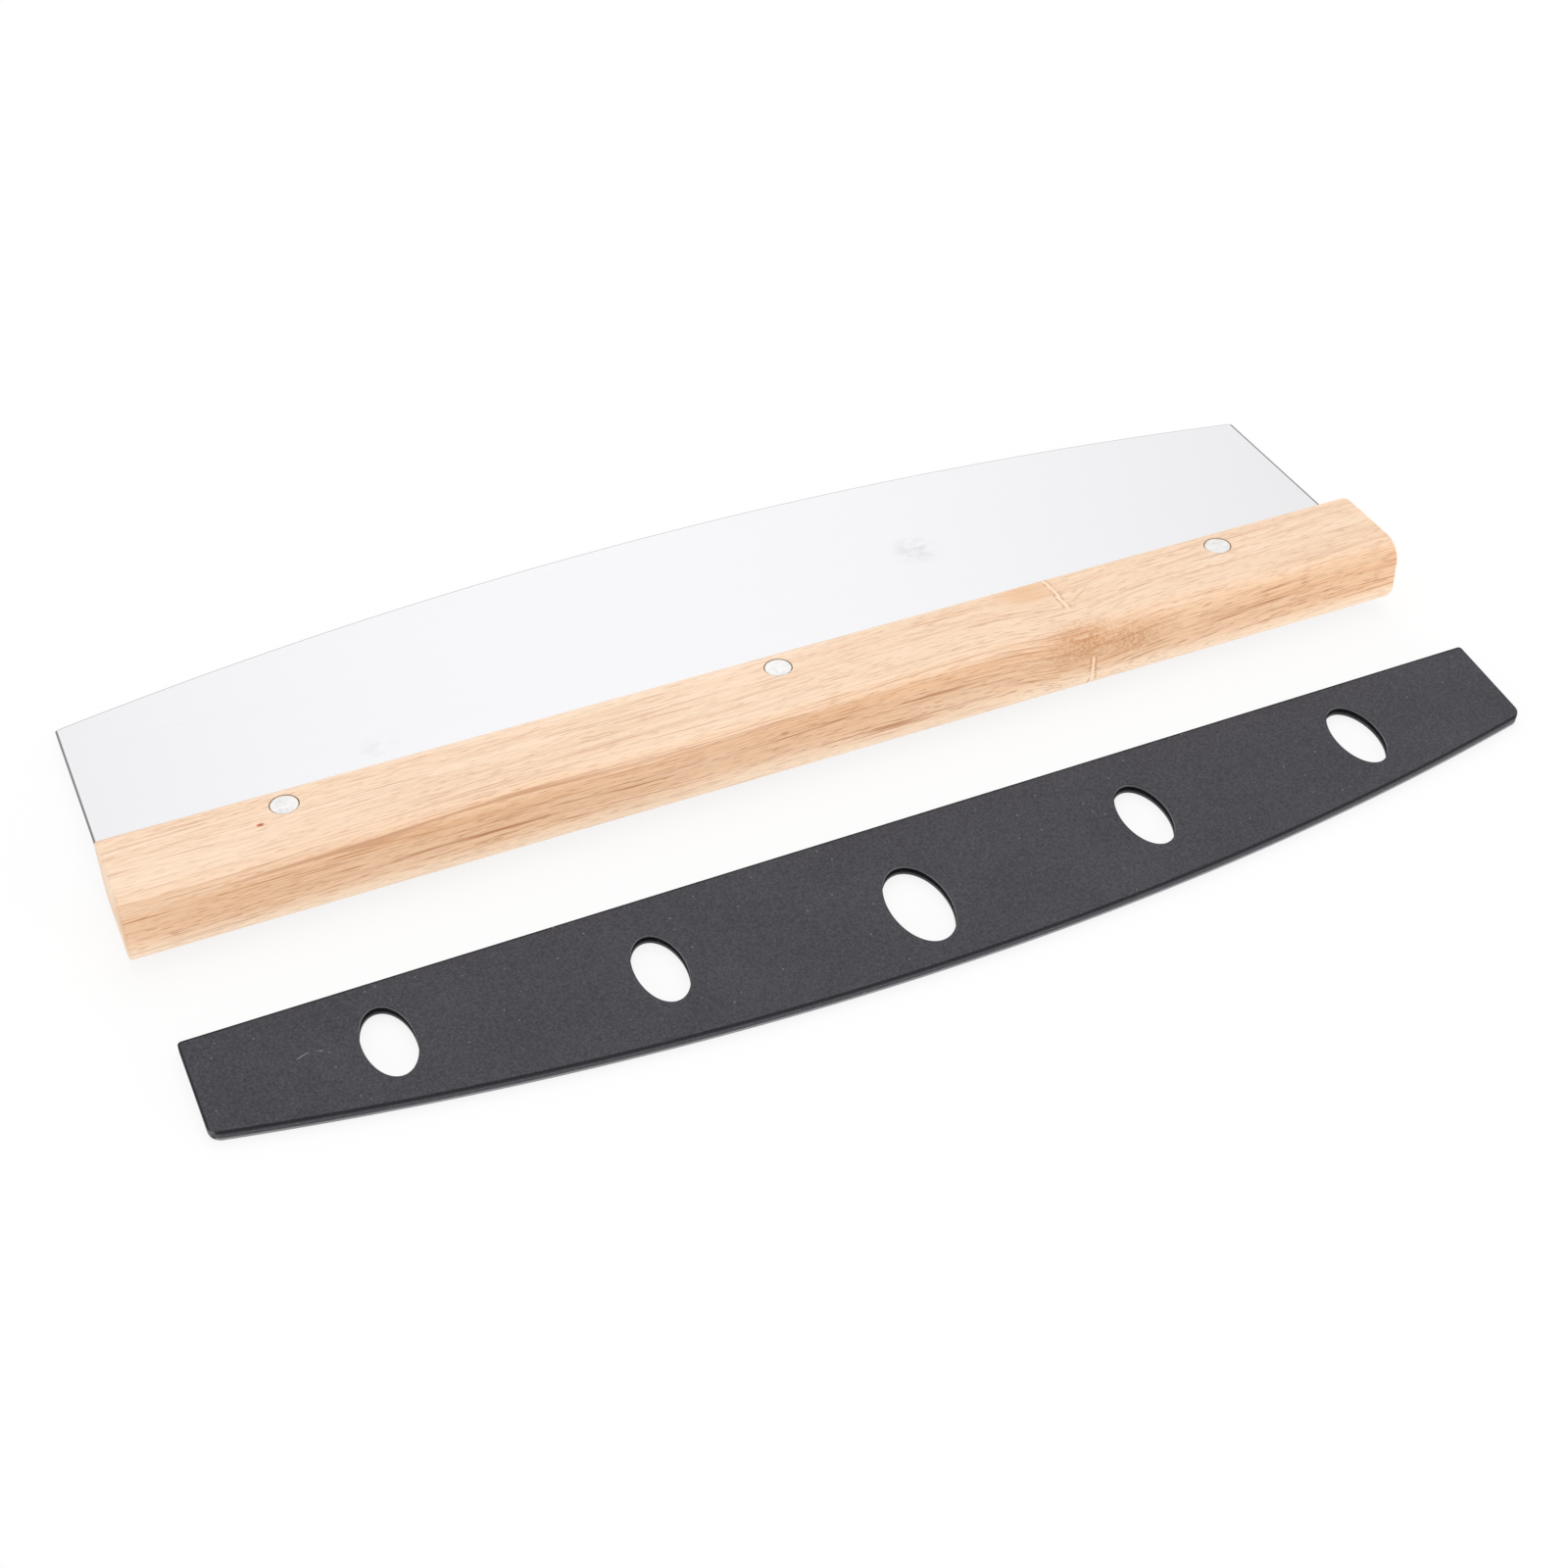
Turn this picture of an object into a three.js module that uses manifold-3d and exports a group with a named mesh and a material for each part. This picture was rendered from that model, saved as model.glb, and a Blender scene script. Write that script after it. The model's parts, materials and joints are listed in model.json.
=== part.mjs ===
// Rocker pizza cutter: a wide curved blade riveted into a straight wooden grip, lying beside its sheath.
// Millimetres, +Z up. X runs along the grip, +Y points from the grip towards the cutting edge.
// The origin is on the table, in the middle of the ground that the cutter and the sheath cover.
import * as THREE from "three";
import { mergeVertices } from "three/addons/utils/BufferGeometryUtils.js";
import Module from "manifold-3d";

// Driving dimensions of the grip
const GRIP_LENGTH = 350;
const GRIP_DEPTH = 30;
const GRIP_THICKNESS = 19.6;
const GRIP_EDGE_RADIUS = 6;
const GRIP_END_BREAK = 0.4;

// Driving dimensions of the blade, which ends a little inside the grip's ends; heights are measured from the
// grip's blade side
const BLADE_END_SETBACK = 0.5;
const BLADE_LENGTH = GRIP_LENGTH - 2 * BLADE_END_SETBACK;
const BLADE_THICKNESS = 1;
const BLADE_END_HEIGHT = 56.5;
const BLADE_MIDDLE_HEIGHT = 74.5;
const BLADE_CORNER_RADIUS = 1.5;
const BEVEL_WIDTH = 1.2;
const CUTTING_EDGE_THICKNESS = 0.2;
const TANG_END_DISTANCE = 10;
const TANG_DEPTH = 18;
const TANG_CORNER_RADIUS = 3;

// Driving dimensions of the three rivets; distances run from the grip's ends and its blade side to the axes
const RIVET_END_DISTANCE = 45;
const RIVET_INSET = 9.3;
const RIVET_HEAD_DIAMETER = 7;
const RIVET_HEAD_HEIGHT = 2.2;
const RIVET_SHANK_DIAMETER = 4.5;
const RIVET_SINK = 0.1;
const ASSEMBLY_GAP = 0.3;

// Driving dimensions of the sheath
const SHEATH_DEPTH = 46.8;
const SHEATH_WALL = 0.9;
const SHEATH_RIM = 1.4;
const SHEATH_CORNER_RADIUS = 3.5;
const SHEATH_MOUTH_RADIUS = 1;
const SHEATH_EDGE_RADIUS = 0.4;
const BLADE_EDGE_CLEARANCE = 0.8;
const BLADE_FACE_CLEARANCE = 0.2;
const PARTING_HEIGHT = 1.1;
const PARTING_WIDTH = 0.3;
const PARTING_DEPTH = 0.25;

// Oval holes in the sheath; four alike at mid-depth, and a larger one in the middle nearer the closed edge
const HOLE_PITCH = 65.9;
const HOLE_WIDTH = 12.7;
const HOLE_LENGTH = 21.8;
const MIDDLE_HOLE_WIDTH = 15.7;
const MIDDLE_HOLE_LENGTH = 25.7;
const MIDDLE_HOLE_SHIFT = 3.9;

// How the loose sheath lies in front of the grip
const SHEATH_GAP = 24.2;
const SHEATH_SHIFT = 5.9;
const SHEATH_TURN_DEGREES = 0.5;

// How finely round shapes are divided
const BELLY_SEGMENTS = 48;
const CORNER_SEGMENTS = 6;
const RIM_SEGMENTS = 2;
const ROUND_SEGMENTS = 40;

// How far a cutting shape reaches past the face that it cuts
const CUT_REACH = 2;

// The cutting edge is one arc through both end heights and the middle height
const BELLY_RISE = BLADE_MIDDLE_HEIGHT - BLADE_END_HEIGHT;
const BELLY_RADIUS = ((BLADE_LENGTH / 2) ** 2 + BELLY_RISE ** 2) / (2 * BELLY_RISE);
const BELLY_CENTRE = BLADE_MIDDLE_HEIGHT - BELLY_RADIUS;

// The sheath follows the blade's outline at this distance, and takes its thickness from the blade
const SHEATH_OFFSET = BLADE_EDGE_CLEARANCE + SHEATH_RIM;
const POCKET_THICKNESS = BLADE_THICKNESS + 2 * BLADE_FACE_CLEARANCE;
const SHEATH_THICKNESS = POCKET_THICKNESS + 2 * SHEATH_WALL;
const SHEATH_MOUTH = BLADE_MIDDLE_HEIGHT + SHEATH_OFFSET - SHEATH_DEPTH;

const wasm = await Module();
wasm.setup();

// A closed geometry as a solid that can be joined and cut.
function solid(geometry) {
  const bare = geometry.clone();
  bare.deleteAttribute("normal");
  bare.deleteAttribute("uv");
  const merged = mergeVertices(bare);
  const mesh = new wasm.Mesh({
    numProp: 3,
    vertProperties: merged.attributes.position.array,
    triVerts: new Uint32Array(merged.index.array),
  });
  return new wasm.Manifold(mesh);
}

// A solid as a named mesh.
function piece(name, body, material) {
  const mesh = body.getMesh();
  const geometry = new THREE.BufferGeometry();
  geometry.setAttribute("position", new THREE.BufferAttribute(mesh.vertProperties, 3));
  geometry.setIndex(new THREE.BufferAttribute(mesh.triVerts, 1));
  geometry.computeVertexNormals();
  const made = new THREE.Mesh(geometry, material);
  made.name = name;
  return made;
}

// A flat outline with a thickness, centred on z = 0, its two rims rounded by the given radius.
function slab(outline, thickness, rimRadius = 0) {
  const depth = thickness - 2 * rimRadius;
  const geometry = new THREE.ExtrudeGeometry(outline, {
    depth,
    curveSegments: CORNER_SEGMENTS,
    bevelEnabled: rimRadius > 0,
    bevelThickness: rimRadius,
    bevelSize: rimRadius,
    bevelOffset: -rimRadius,
    bevelSegments: RIM_SEGMENTS,
  });
  return geometry.translate(0, 0, -depth / 2);
}

// A rectangle with round corners, given by its middle, width and height.
function roundedRectangle(middleX, middleY, width, height, radius) {
  const x = width / 2 - radius;
  const y = height / 2 - radius;
  const outline = new THREE.Shape();
  outline.absarc(middleX + x, middleY + y, radius, 0, Math.PI / 2);
  outline.absarc(middleX - x, middleY + y, radius, Math.PI / 2, Math.PI);
  outline.absarc(middleX - x, middleY - y, radius, Math.PI, Math.PI * 1.5);
  outline.absarc(middleX + x, middleY - y, radius, Math.PI * 1.5, Math.PI * 2);
  outline.closePath();
  return outline;
}

// The curved side of the blade at an offset, from its right end to its left, with both corners rounded.
function bellyPoints(offset, cornerRadius) {
  const radius = BELLY_RADIUS + offset;
  const cornerX = BLADE_LENGTH / 2 + offset - cornerRadius;
  const cornerY = BELLY_CENTRE + Math.sqrt((radius - cornerRadius) ** 2 - cornerX ** 2);
  const lean = Math.asin(cornerX / (radius - cornerRadius));
  const first = Math.PI / 2 - lean;
  const last = Math.PI / 2 + lean;
  const arc = (x, y, r, from, to, count) => new THREE.EllipseCurve(x, y, r, r, from, to).getPoints(count);
  return [
    ...arc(cornerX, cornerY, cornerRadius, 0, first, CORNER_SEGMENTS),
    ...arc(0, BELLY_CENTRE, radius, first, last, BELLY_SEGMENTS).slice(1, -1),
    ...arc(-cornerX, cornerY, cornerRadius, last, Math.PI, CORNER_SEGMENTS),
  ];
}

// The blade's outline at an offset, cut off square at the mouth, for the sheath and its pocket.
function sheathOutline(offset, mouth, mouthRadius = 0) {
  const half = BLADE_LENGTH / 2 + offset;
  const outline = new THREE.Shape(bellyPoints(offset, SHEATH_CORNER_RADIUS + offset - SHEATH_OFFSET));
  outline.lineTo(-half, mouth + mouthRadius);
  if (mouthRadius > 0) {
    outline.absarc(-half + mouthRadius, mouth + mouthRadius, mouthRadius, Math.PI, Math.PI * 1.5);
  }
  outline.lineTo(half - mouthRadius, mouth);
  if (mouthRadius > 0) {
    outline.absarc(half - mouthRadius, mouth + mouthRadius, mouthRadius, Math.PI * 1.5, Math.PI * 2);
  }
  outline.closePath();
  return outline;
}

// A closed skin over equal rings of points; the first and last rings are capped as fans.
function loft(rings) {
  const count = rings[0].length;
  const positions = rings.flat().flatMap((point) => point.toArray());
  const faces = [];
  for (let ring = 0; ring + 1 < rings.length; ring++) {
    for (let side = 0; side < count; side++) {
      const a = ring * count + side;
      const b = ring * count + ((side + 1) % count);
      faces.push(a, b, b + count, a, b + count, a + count);
    }
  }
  const end = (rings.length - 1) * count;
  for (let side = 1; side + 1 < count; side++) {
    faces.push(0, side + 1, side, end, end + side, end + side + 1);
  }
  const geometry = new THREE.BufferGeometry();
  geometry.setAttribute("position", new THREE.Float32BufferAttribute(positions, 3));
  geometry.setIndex(faces);
  return geometry;
}

// Section across the blade where its cutting edge is at (x, y): flat sides, then a bevel to the thin edge.
function bladeSection({ x, y }) {
  const side = BLADE_THICKNESS / 2;
  const tip = CUTTING_EDGE_THICKNESS / 2;
  const shoulder = y - BEVEL_WIDTH;
  const corners = [
    [ASSEMBLY_GAP, side],
    [shoulder, side],
    [y, tip],
    [y, -tip],
    [shoulder, -side],
    [ASSEMBLY_GAP, -side],
  ];
  return corners.map(([sectionY, z]) => new THREE.Vector3(x, sectionY, z));
}

// Rivet turned about Z, or with a clearance the stepped bore that takes it; heads reach to both grip faces.
function rivetProfile(clearance, faceHeight) {
  const head = RIVET_HEAD_DIAMETER / 2 + clearance;
  const shank = RIVET_SHANK_DIAMETER / 2 + clearance;
  const step = GRIP_THICKNESS / 2 - RIVET_SINK - RIVET_HEAD_HEIGHT - clearance;
  const points = [
    [0, -faceHeight],
    [head, -faceHeight],
    [head, -step],
    [shank, -step],
    [shank, step],
    [head, step],
    [head, faceHeight],
    [0, faceHeight],
  ];
  const profile = points.map(([radius, height]) => new THREE.Vector2(radius, height));
  return new THREE.LatheGeometry(profile, ROUND_SEGMENTS).rotateX(Math.PI / 2);
}

function atRivet(geometry, column) {
  const spacing = GRIP_LENGTH / 2 - RIVET_END_DISTANCE;
  return geometry.translate(column * spacing, -RIVET_INSET, 0);
}

const rivetColumns = { rivet_left: -1, rivet_middle: 0, rivet_right: 1 };

// The tang's outline, or with a clearance that of the slot which takes it; its round top corners lie past
// the grip's blade side, inside the blade.
function tangOutline(clearance) {
  const radius = TANG_CORNER_RADIUS + clearance;
  const bottom = -TANG_DEPTH - clearance;
  const top = ASSEMBLY_GAP + radius;
  const length = GRIP_LENGTH - 2 * (TANG_END_DISTANCE - clearance);
  return roundedRectangle(0, (top + bottom) / 2, length, top - bottom, radius);
}

// Grip: a bar with well rounded long edges and square-cut ends, a blind slot for the tang and three stepped
// bores. Its section is drawn across the bar, with the slab's X, Y and Z becoming Y, Z and X.
function gripBody() {
  const section = roundedRectangle(-GRIP_DEPTH / 2, 0, GRIP_DEPTH, GRIP_THICKNESS, GRIP_EDGE_RADIUS);
  const alongGrip = new THREE.Matrix4().makeBasis(
    new THREE.Vector3(0, 1, 0),
    new THREE.Vector3(0, 0, 1),
    new THREE.Vector3(1, 0, 0),
  );
  const bar = slab(section, GRIP_LENGTH, GRIP_END_BREAK).applyMatrix4(alongGrip);
  const slot = solid(slab(tangOutline(ASSEMBLY_GAP), BLADE_THICKNESS + 2 * ASSEMBLY_GAP));
  let body = solid(bar).subtract(slot);
  for (const column of Object.values(rivetColumns)) {
    const bore = rivetProfile(ASSEMBLY_GAP, GRIP_THICKNESS / 2 + CUT_REACH);
    body = body.subtract(solid(atRivet(bore, column)));
  }
  return body;
}

// Blade: sections lofted along the cutting edge, joined to a shouldered tang with three rivet holes.
function bladeBody() {
  const sections = bellyPoints(0, BLADE_CORNER_RADIUS).map(bladeSection);
  let body = solid(loft(sections)).add(solid(slab(tangOutline(0), BLADE_THICKNESS)));
  const holeRadius = RIVET_SHANK_DIAMETER / 2 + ASSEMBLY_GAP;
  const holeDepth = BLADE_THICKNESS + CUT_REACH;
  for (const column of Object.values(rivetColumns)) {
    const hole = new THREE.CylinderGeometry(holeRadius, holeRadius, holeDepth, ROUND_SEGMENTS);
    body = body.subtract(solid(atRivet(hole.rotateX(Math.PI / 2), column)));
  }
  return body;
}

// Sheath, modelled as it sits on the blade: a shell with a thin pocket, a parting groove and five oval
// holes.
function sheathBody() {
  const outline = sheathOutline(SHEATH_OFFSET, SHEATH_MOUTH, SHEATH_MOUTH_RADIUS);
  const shell = solid(slab(outline, SHEATH_THICKNESS, SHEATH_EDGE_RADIUS));
  const pastMouth = SHEATH_MOUTH - CUT_REACH;
  const pocket = solid(slab(sheathOutline(BLADE_EDGE_CLEARANCE, pastMouth), POCKET_THICKNESS));
  const grooveBlank = solid(slab(sheathOutline(SHEATH_OFFSET + CUT_REACH, pastMouth), PARTING_WIDTH));
  const grooveFloor = sheathOutline(SHEATH_OFFSET - PARTING_DEPTH, pastMouth - CUT_REACH);
  const groove = grooveBlank
    .subtract(solid(slab(grooveFloor, SHEATH_THICKNESS)))
    .translate([0, 0, PARTING_HEIGHT - SHEATH_THICKNESS / 2]);
  let body = shell.subtract(pocket).subtract(groove);
  for (let column = -2; column <= 2; column++) {
    body = body.subtract(solid(slab(holeOutline(column), SHEATH_THICKNESS + CUT_REACH)));
  }
  return body;
}

// Oval hole of the sheath, counted in pitches from the middle.
function holeOutline(column) {
  const x = column * HOLE_PITCH;
  const edge = BELLY_CENTRE + Math.sqrt((BELLY_RADIUS + SHEATH_OFFSET) ** 2 - x ** 2);
  const isMiddle = column === 0;
  const y = (SHEATH_MOUTH + edge) / 2 + (isMiddle ? MIDDLE_HOLE_SHIFT : 0);
  const width = isMiddle ? MIDDLE_HOLE_WIDTH : HOLE_WIDTH;
  const length = isMiddle ? MIDDLE_HOLE_LENGTH : HOLE_LENGTH;
  const oval = new THREE.EllipseCurve(x, y, width / 2, length / 2, 0, Math.PI * 2);
  return new THREE.Shape(oval.getPoints(ROUND_SEGMENTS).slice(0, -1));
}

// Lying on a table, the grip rests on its rounded lower edge and the cutter tips until the blade touches
// too, with its thin edge or with the lower corner of its bevel, whichever gets there first.
function restingTilt() {
  const lowCorners = [
    { height: BLADE_MIDDLE_HEIGHT, below: CUTTING_EDGE_THICKNESS / 2 },
    { height: BLADE_MIDDLE_HEIGHT - BEVEL_WIDTH, below: BLADE_THICKNESS / 2 },
  ];
  const tilts = lowCorners.map(({ height, below }) => {
    const reach = height + GRIP_EDGE_RADIUS;
    const drop = GRIP_THICKNESS / 2 - GRIP_EDGE_RADIUS - below;
    return Math.atan2(drop, reach) + Math.asin(GRIP_EDGE_RADIUS / Math.hypot(reach, drop));
  });
  return Math.min(...tilts);
}

const beech = new THREE.MeshStandardMaterial({ color: 0xedc8a4, roughness: 0.6, metalness: 0 });
const steel = new THREE.MeshStandardMaterial({ color: 0xdcdee1, roughness: 0.32, metalness: 1 });
const aluminium = new THREE.MeshStandardMaterial({ color: 0xd9d7d3, roughness: 0.4, metalness: 1 });
const charcoalPlastic = new THREE.MeshStandardMaterial({ color: 0x48474b, roughness: 0.75, metalness: 0 });

const cutter = new THREE.Group();
cutter.add(piece("handle", gripBody(), beech));
cutter.add(piece("blade", bladeBody(), steel));
for (const [name, column] of Object.entries(rivetColumns)) {
  const rivet = rivetProfile(0, GRIP_THICKNESS / 2 - RIVET_SINK);
  cutter.add(piece(name, solid(atRivet(rivet, column)), aluminium));
}
cutter.rotation.x = -restingTilt();
const cutterBox = new THREE.Box3().setFromObject(cutter, true);
cutter.position.z = -cutterBox.min.z;

// The sheath lies flat in front of the grip, turned end for end so that its mouth faces the grip.
const lyingSheath = sheathBody().translate([0, -SHEATH_MOUTH, SHEATH_THICKNESS / 2]);
const sheath = piece("sheath", lyingSheath, charcoalPlastic);
sheath.rotation.z = Math.PI + THREE.MathUtils.degToRad(SHEATH_TURN_DEGREES);
sheath.position.set(SHEATH_SHIFT, cutterBox.min.y - SHEATH_GAP, 0);

const layout = new THREE.Group();
layout.add(cutter, sheath);
const covered = new THREE.Box3().setFromObject(layout, true);
const middle = covered.getCenter(new THREE.Vector3());
layout.position.set(-middle.x, -middle.y, 0);

const pizzaCutter = new THREE.Group();
pizzaCutter.add(layout);

export default pizzaCutter;
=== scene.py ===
"""Rocker pizza cutter with a riveted wooden grip, and its slip-on blade sheath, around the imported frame."""
import json
import math
from types import SimpleNamespace

import bpy
import numpy as np
from bpy.props import FloatProperty, FloatVectorProperty, PointerProperty
from mathutils import Matrix, Vector


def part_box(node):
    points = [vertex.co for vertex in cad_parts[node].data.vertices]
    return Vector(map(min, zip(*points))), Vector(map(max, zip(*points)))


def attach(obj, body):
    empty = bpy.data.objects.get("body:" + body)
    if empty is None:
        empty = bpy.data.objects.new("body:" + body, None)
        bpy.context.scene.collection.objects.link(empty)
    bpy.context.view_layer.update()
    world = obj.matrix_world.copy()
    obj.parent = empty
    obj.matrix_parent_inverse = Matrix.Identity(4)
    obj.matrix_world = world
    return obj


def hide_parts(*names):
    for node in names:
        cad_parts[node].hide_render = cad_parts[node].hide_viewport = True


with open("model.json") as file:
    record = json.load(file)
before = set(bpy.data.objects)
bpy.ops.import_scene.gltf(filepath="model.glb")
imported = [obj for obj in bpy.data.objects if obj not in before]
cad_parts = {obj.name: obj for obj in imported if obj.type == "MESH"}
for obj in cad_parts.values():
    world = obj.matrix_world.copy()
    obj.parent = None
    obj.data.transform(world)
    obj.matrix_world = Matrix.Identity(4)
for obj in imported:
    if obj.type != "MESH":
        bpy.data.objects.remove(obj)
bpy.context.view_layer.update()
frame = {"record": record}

bl_info = {
    "name": "Rocker Pizza Cutter",
    "version": (1, 0, 0),
    "blender": (4, 5, 0),
    "location": "3D View > Sidebar > Pizza Cutter",
    "description": "Builds a rocker pizza cutter and its blade sheath around a packed frame",
    "category": "Add Mesh",
}

MM = 0.001
QUARTER = math.pi / 2

# Turns a body that is drawn across the grip, so that its X, Y and Z become Y, Z and X
ALONG_GRIP = Matrix(((0, 0, 1), (1, 0, 0), (0, 1, 0))).to_4x4()

# How finely round shapes are divided
BELLY_STEPS = 160
CORNER_STEPS = 10
RIM_STEPS = 4
GRIP_EDGE_STEPS = 16
ROUND_STEPS = 64
OVAL_STEPS = 96

# How far a cutting shape reaches past the face that it cuts
CUT_REACH = 2 * MM

# Angle up to which edges are shaded smooth
CREASE = math.radians(32)

# The sheath's holes, counted from the middle one
HOLE_COLUMNS = range(-2, 3)

# How far the floor lies under the object, and where its shadow fades to white, from near to far
FLOOR_GAP = 0.2 * MM
SHADOW_FADE = (0.5, 1.5)

# Where each lamp hangs, and how wide it is
LAMPS = {
    "overhead": ((0.1, 0.45, 1.3), 1.2),
    "left": ((-1.1, -0.1, 0.5), 0.7),
    "front": ((0.8, -1.2, 0.2), 0.4),
}

# Parts of directions over which the studio's light changes: Y where the wall grows to its full brightness,
# cosine of the angle to the camera where it dims, and Z where the white horizon begins, from above
WALL_RISE = (0.25, 0.6)
DIM_RISE = (0.7, 0.97)
HORIZON_RISE = (0.22, 0.06)

# Width of the camera's sensor in millimetres
SENSOR_WIDTH = 36

# Sockets of a mix node for numbers and for colours: share, first and second input, and output
MIX_SOCKETS = {"FLOAT": (0, 2, 3, 0), "RGBA": (0, 6, 7, 2)}


# Frame: where the cutter and the sheath lie


def extent(node, axis):
    """Length of a node's box along one axis."""
    low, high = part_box(node)
    return (high - low)[axis]


def mount_axis(name):
    """Direction in which a mount of the record faces."""
    return Vector(next(mount["axis"] for mount in frame["record"]["mounts"] if mount["name"] == name))


def opening_middle(name):
    """Middle of an opening of the record."""
    openings = frame["record"]["physics"]["openings"]
    low, high = next(opening["box_m"] for opening in openings if opening["name"] == name)
    return (Vector(low) + Vector(high)) / 2


def cutter_place(grip):
    """The cutter's own frame: X along the grip, Y towards the cutting edge, Z square to the grip's broad
    face, with its origin in the middle of the grip's blade side."""
    facing = mount_axis("grip_face")
    tilt = math.atan2(facing.y, facing.z)
    low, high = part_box("handle")
    to_grip_middle = Matrix.Translation((low + high) / 2) @ Matrix.Rotation(-tilt, 4, "X")
    return to_grip_middle @ Matrix.Translation((0, grip.depth / 2, 0))


def sheath_place(blade, sheath):
    """The sheath's own frame: Y from its mouth to its closed edge, Z up from the table, its origin in the
    middle of the mouth. Two of its holes, read from the record, give where it lies and how it is turned."""
    right = opening_middle("sheath_hole_right_outer")
    left = opening_middle("sheath_hole_left_outer")
    turned = Matrix.Rotation(math.pi + math.atan2(right.y - left.y, right.x - left.x), 4, "Z")
    hole = hole_middle(blade, sheath, HOLE_COLUMNS[-1])
    mouth = (right + left) / 2 - turned @ Vector((0, hole[1], 0))
    mouth.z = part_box("sheath")[0].z
    return Matrix.Translation(mouth) @ turned


# Settings


def size(name, description, default):
    """A length that a user may change."""
    return FloatProperty(
        name=name,
        description=description,
        default=default,
        min=0,
        precision=5,
        subtype="DISTANCE",
        unit="LENGTH",
    )


def share(name, description, default):
    """A share from nothing to all of something."""
    return FloatProperty(
        name=name, description=description, default=default, min=0, max=1, subtype="FACTOR"
    )


def strength(name, description, default):
    """A brightness with 1 as white, a power or a rate."""
    return FloatProperty(name=name, description=description, default=default, min=0)


def turn(name, description, degrees):
    """An angle that a user may change."""
    return FloatProperty(
        name=name, description=description, default=math.radians(degrees), subtype="ANGLE", unit="ROTATION"
    )


def colour(name, description, red, green, blue):
    """A surface colour, written as the eye sees it from 0 to 255."""
    seen = np.array((red, green, blue)) / 255
    linear = np.where(seen > 0.04045, ((seen + 0.055) / 1.055) ** 2.4, seen / 12.92)
    return FloatVectorProperty(
        name=name, description=description, default=linear.tolist(), size=3, min=0, max=1, subtype="COLOR"
    )


class GripSettings(bpy.types.PropertyGroup):
    """Sizes and colours of the wooden grip."""

    length: size("Length", "From end to end of the bar", extent("handle", 0))
    depth: size("Depth", "From the blade side to the palm side", 30 * MM)
    thickness: size("Thickness", "Between the two broad faces", 19.6 * MM)
    edge_radius: size("Edge radius", "Rounding of the long edges", 6 * MM)
    end_break: size("End break", "Rounding where the square-cut ends meet the sides", 0.9 * MM)
    slot_clearance: size("Slot clearance", "Between the tang and the walls of its slot", 0.1 * MM)
    knot_place: size("Knot place", "From the middle of the grip to the pin knot", 79.6 * MM)
    pale: colour("Pale wood", "Wood between the darker bands", 250, 224, 198)
    warm: colour("Warm wood", "Wood in the darker bands and on the palm side", 234, 189, 149)
    line: colour("Dark line", "Growth lines and pores", 176, 110, 68)
    knot: colour("Knot", "Stained wood round the pin knot", 196, 136, 88)
    # This colour also paints floor light bounced onto the front's lower edge
    fleck_and_painted_light: colour("Streak", "Light flecks and the core of the pin knot", 252, 229, 202)
    speck: colour("Speck", "Reddish speck near the left rivet", 190, 100, 70)


class BladeSettings(bpy.types.PropertyGroup):
    """Sizes and colour of the steel blade."""

    length: size("Length", "From end to end of the sheet", extent("blade", 0))
    thickness: size("Thickness", "Of the sheet", 1 * MM)
    end_height: size("End height", "From the grip to the cutting edge at both ends", 56.5 * MM)
    middle_height: size("Middle height", "From the grip to the cutting edge in the middle", 74.5 * MM)
    corner_radius: size("Corner radius", "Rounding of the cutting edge's two ends", 1.5 * MM)
    bevel_width: size("Bevel width", "Of the ground bevel along the cutting edge", 1.2 * MM)
    edge_thickness: size("Edge thickness", "Of the cutting edge", 0.2 * MM)
    edge_break: size("Edge break", "Chamfer on the edges that don't cut", 0.08 * MM)
    shoulder_gap: size("Shoulder gap", "Between the blade's shoulders and the grip", 0.3 * MM)
    tang_end_distance: size("Tang end distance", "From each end of the grip to the tang", 10 * MM)
    tang_depth: size("Tang depth", "How deep the tang sits in the grip", 18 * MM)
    tang_corner_radius: size("Tang corner radius", "Rounding of the tang's corners", 3 * MM)
    steel: colour("Steel", "Satin stainless sheet", 247, 247, 249)
    dull: colour("Dull steel", "Smudges, specks and brushing lines", 150, 151, 153)
    # Painted shade: this colour draws a thin darker line along the sheared ends and the cutting edge
    edge: colour("Edge", "Sheared ends and the cutting edge", 70, 71, 73)


class RivetSettings(bpy.types.PropertyGroup):
    """Sizes and colour of the three rivets."""

    end_distance: size("End distance", "From each end of the grip to the outer rivets", 45 * MM)
    inset: size("Inset", "From the grip's blade side to the rivets' axes", 9.3 * MM)
    head_diameter: size("Head diameter", "Of both heads", 7 * MM)
    head_height: size("Head height", "Of both heads", 2.2 * MM)
    shank_diameter: size("Shank diameter", "Between the heads", 4.5 * MM)
    sink: size("Sink", "How far a head lies below the grip's face", 0.1 * MM)
    gap: size("Gap", "Round a rivet in its bore", 0.25 * MM)
    rim_radius: size("Rim radius", "Rounding of a head's rim", 0.2 * MM)
    aluminium: colour("Aluminium", "Flat ground heads", 253, 252, 250)
    dull: colour("Dull aluminium", "Scratches and dull patches", 165, 164, 162)


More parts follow.
